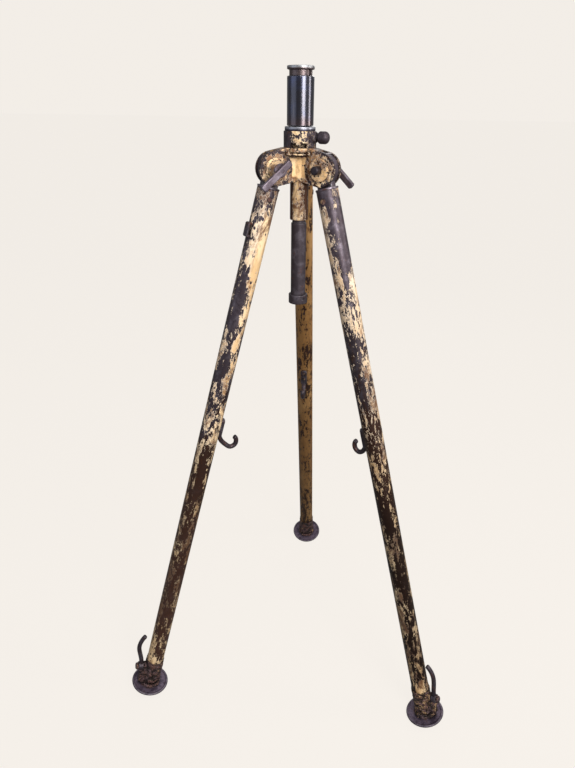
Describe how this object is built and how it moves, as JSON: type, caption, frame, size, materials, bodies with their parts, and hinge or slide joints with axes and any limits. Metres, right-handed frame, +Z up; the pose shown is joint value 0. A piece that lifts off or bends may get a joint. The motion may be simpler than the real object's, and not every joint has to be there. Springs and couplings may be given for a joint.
{
  "type": "surveyor tripod",
  "caption": "Tubular steel column tripod with hinged clamped legs, disc feet with folding claws, leg hooks and a round instrument spigot on a sliding column.",
  "frame": {"origin": "bottom centre of the object's bounding box, on the ground; the column stands behind it, towards -Y", "axes": "+Z up along the column; the rear leg points along +Y, the left leg to azimuth 210 degrees and the right leg to 330 degrees"},
  "size_m": [0.7726, 0.681, 1.3845],
  "materials": {
    "sand_paint": "sand paint, chipped",
    "dark_steel": "old bare steel",
    "blued_steel": "polished blued steel",
    "cast_steel": "rusty cast steel",
    "bronze": "machined"
  },
  "bodies": {
    "hub": {"hub_casting": "sand_paint", "guide_tube": "sand_paint", "lower_guide_bush": "bronze", "upper_guide_bush": "bronze", "clamp_collar": "sand_paint", "collar_ring": "dark_steel", "brake_pad": "bronze", "front_lip": "sand_paint", "lip_rivets": "dark_steel", "hinge_bolt_left": "dark_steel", "hinge_bolt_right": "dark_steel", "hinge_bolt_rear": "dark_steel", "hinge_washers_left": "sand_paint", "hinge_washers_right": "sand_paint", "hinge_washers_rear": "sand_paint"},
    "column": {"column_rod": "dark_steel", "rod_cap": "dark_steel", "cap_set_screw": "dark_steel", "head_screw": "dark_steel"},
    "spigot": {"spigot_sleeve": "blued_steel", "head_flange": "blued_steel"},
    "column_clamp": {"clamp_knob": "dark_steel", "clamp_screw": "dark_steel"},
    "leg_left": {"leg_tube_left": "sand_paint", "leg_knuckle_left": "dark_steel", "knuckle_pin_left": "dark_steel", "foot_socket_left": "cast_steel", "socket_pin_left": "cast_steel", "foot_disc_left": "cast_steel", "claw_bolt_left": "dark_steel", "strap_hook_left": "cast_steel", "hook_rivets_left": "dark_steel", "sling_staple": "dark_steel"},
    "lever_left": {"clamp_nut_left": "dark_steel", "clamp_handle_left": "dark_steel"},
    "claw_left": {"ground_claw_left": "cast_steel"},
    "leg_right": {"leg_tube_right": "sand_paint", "leg_knuckle_right": "dark_steel", "knuckle_pin_right": "dark_steel", "foot_socket_right": "cast_steel", "socket_pin_right": "cast_steel", "foot_disc_right": "cast_steel", "claw_bolt_right": "dark_steel", "strap_hook_right": "cast_steel", "hook_rivets_right": "dark_steel"},
    "lever_right": {"clamp_nut_right": "dark_steel", "clamp_handle_right": "dark_steel"},
    "claw_right": {"ground_claw_right": "cast_steel"},
    "leg_rear": {"leg_tube_rear": "sand_paint", "leg_knuckle_rear": "dark_steel", "knuckle_pin_rear": "dark_steel", "foot_socket_rear": "cast_steel", "socket_pin_rear": "cast_steel", "foot_disc_rear": "cast_steel", "claw_bolt_rear": "dark_steel", "strap_hook_rear": "cast_steel", "hook_rivets_rear": "dark_steel"},
    "lever_rear": {"clamp_nut_rear": "dark_steel", "clamp_handle_rear": "dark_steel"},
    "claw_rear": {"ground_claw_rear": "cast_steel"}
  },
  "joints": [
    {"name": "column_slide", "type": "slide", "parent": "hub", "child": "column", "axis": [0, 0, 1], "range_m": [0, 0.14]},
    {"name": "spigot_swivel", "type": "hinge", "parent": "column", "child": "spigot", "pos_m": [0, -0.09849, 1.33], "axis": [0, 0, 1], "continuous": true},
    {"name": "column_clamp_turn", "type": "hinge", "parent": "hub", "child": "column_clamp", "pos_m": [0.04229, -0.11388, 1.274], "axis": [0.9397, -0.342, 0], "range_deg": [0, 270]},
    {"name": "leg_hinge_left", "type": "hinge", "parent": "hub", "child": "leg_left", "pos_m": [-0.04503, -0.12449, 1.22265], "axis": [-0.5, 0.866, 0], "range_deg": [-13.3, 28]},
    {"name": "lever_turn_left", "type": "hinge", "parent": "hub", "child": "lever_left", "pos_m": [-0.04503, -0.12449, 1.22265], "axis": [0.5, -0.866, 0], "range_deg": [0, 85]},
    {"name": "claw_swing_left", "type": "hinge", "parent": "leg_left", "child": "claw_left", "pos_m": [-0.35693, -0.30456, 0.07751], "axis": [-0.8329, -0.4809, 0.274], "range_deg": [0, 100]},
    {"name": "leg_hinge_right", "type": "hinge", "parent": "hub", "child": "leg_right", "pos_m": [0.04503, -0.12449, 1.22265], "axis": [-0.5, -0.866, 0], "range_deg": [-13.3, 28]},
    {"name": "lever_turn_right", "type": "hinge", "parent": "hub", "child": "lever_right", "pos_m": [0.04503, -0.12449, 1.22265], "axis": [0.5, 0.866, 0], "range_deg": [0, 85]},
    {"name": "claw_swing_right", "type": "hinge", "parent": "leg_right", "child": "claw_right", "pos_m": [0.35693, -0.30456, 0.07751], "axis": [0.8329, -0.4809, 0.274], "range_deg": [0, 100]},
    {"name": "leg_hinge_rear", "type": "hinge", "parent": "hub", "child": "leg_rear", "pos_m": [0, -0.04649, 1.22265], "axis": [1, 0, 0], "range_deg": [-13.3, 28]},
    {"name": "lever_turn_rear", "type": "hinge", "parent": "hub", "child": "lever_rear", "pos_m": [0, -0.04649, 1.22265], "axis": [-1, 0, 0], "range_deg": [0, 85]},
    {"name": "claw_swing_rear", "type": "hinge", "parent": "leg_rear", "child": "claw_rear", "pos_m": [0, 0.31367, 0.07751], "axis": [0, 0.9617, 0.274], "range_deg": [0, 100]}
  ]
}
